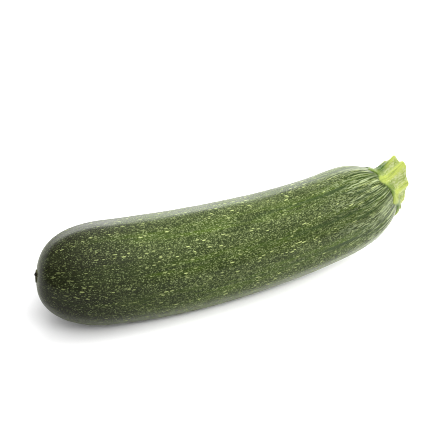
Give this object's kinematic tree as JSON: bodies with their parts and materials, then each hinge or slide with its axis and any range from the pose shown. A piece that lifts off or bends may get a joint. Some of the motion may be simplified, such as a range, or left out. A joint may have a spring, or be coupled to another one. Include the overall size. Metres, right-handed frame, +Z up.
{
  "type": "courgette",
  "caption": "Fresh green courgette with a short ridged stem cut at a slant, lying on its belly.",
  "frame": {"origin": "under the middle of the whole part, on the surface that it rests on", "axes": "+Z up, +X along the fruit from the blossom end to the stem"},
  "size_m": [0.186, 0.0504, 0.051],
  "materials": {
    "skin": "waxy dark green skin with pale flecks",
    "stalk": "ridged yellow-green stalk",
    "cork": "dry brown scar"
  },
  "bodies": {
    "root": {"fruit": "skin", "stem": "stalk", "blossom_scar": "cork"}
  },
  "joints": []
}
